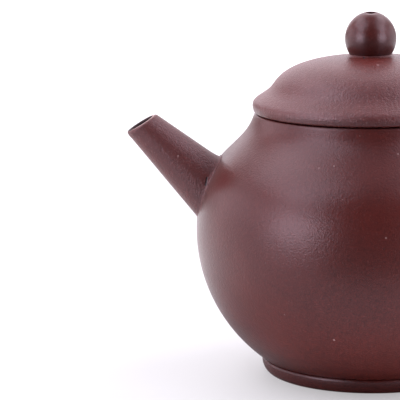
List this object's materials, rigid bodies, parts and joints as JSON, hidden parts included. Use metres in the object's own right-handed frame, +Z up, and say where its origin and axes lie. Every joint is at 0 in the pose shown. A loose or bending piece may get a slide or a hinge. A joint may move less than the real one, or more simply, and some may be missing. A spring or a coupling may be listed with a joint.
{
  "type": "clay teapot",
  "caption": "Round unglazed clay teapot with a straight spout, a looped handle and a domed lift-off lid that is held by its ball knob.",
  "frame": {"origin": "centre of the foot ring's resting face, on the pot's axis", "axes": "+Z up along the pot's axis, +X towards the handle, -X towards the spout"},
  "size_m": [0.1128, 0.0802, 0.083],
  "materials": {
    "burnished_clay": "unglazed purple-brown stoneware, burnished to a satin",
    "raw_clay": "the same clay left as fired, matt and fine-grained"
  },
  "bodies": {
    "pot": {"belly_wall": "burnished_clay", "shoulder_disc": "burnished_clay", "mouth_ring": "burnished_clay", "base_disc": "raw_clay", "foot_ring": "burnished_clay", "spout": "burnished_clay", "strainer": "raw_clay", "handle": "burnished_clay"},
    "lid": {"lid_dome": "burnished_clay", "lid_rim": "burnished_clay", "lid_flange": "raw_clay", "knob": "burnished_clay"}
  },
  "joints": [
    {"name": "lid_lift", "type": "slide", "parent": "pot", "child": "lid", "axis": [0, 0, 1], "range_m": [0, 0.04]}
  ]
}
